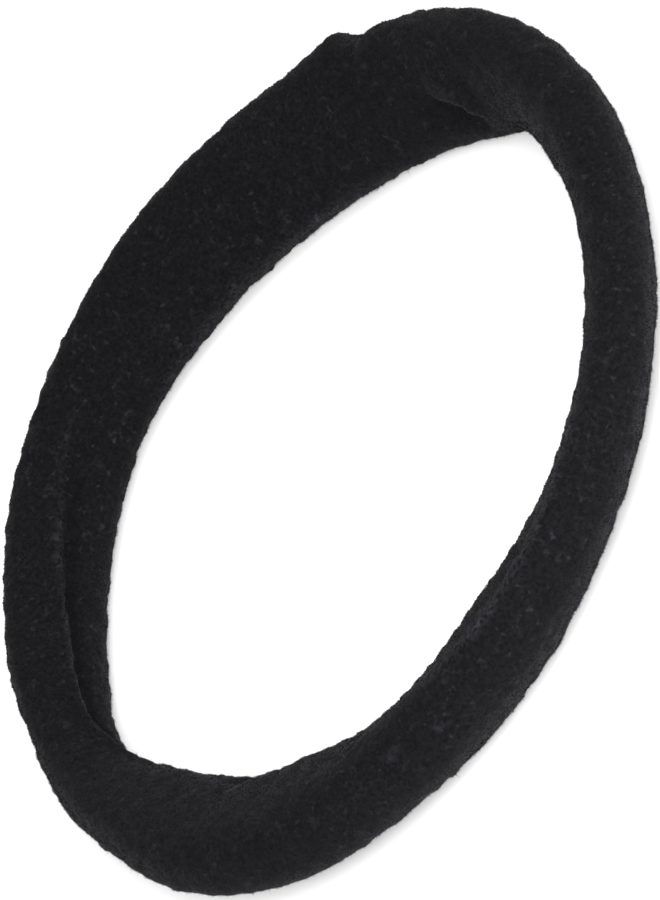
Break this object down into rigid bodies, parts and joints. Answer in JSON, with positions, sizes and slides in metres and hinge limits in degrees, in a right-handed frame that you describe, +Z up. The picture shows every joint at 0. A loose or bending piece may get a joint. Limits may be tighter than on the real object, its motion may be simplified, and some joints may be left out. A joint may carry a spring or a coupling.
{
  "type": "elastic hair tie",
  "caption": "Thick ring of soft brushed black knit, flattened in section and flared like a shallow cone, that stretches to hold gathered hair.",
  "frame": {"origin": "on the resting surface, under the middle of the ring's box", "axes": "+Z up along the ring's axis, towards its wide mouth; +X towards the end with the overlap; +Y towards the broad far side"},
  "size_m": [0.0596, 0.0604, 0.0085],
  "materials": {
    "knit": "matt black brushed nylon knit with a short nap"
  },
  "bodies": {
    "root": {"band": "knit"}
  },
  "joints": []
}
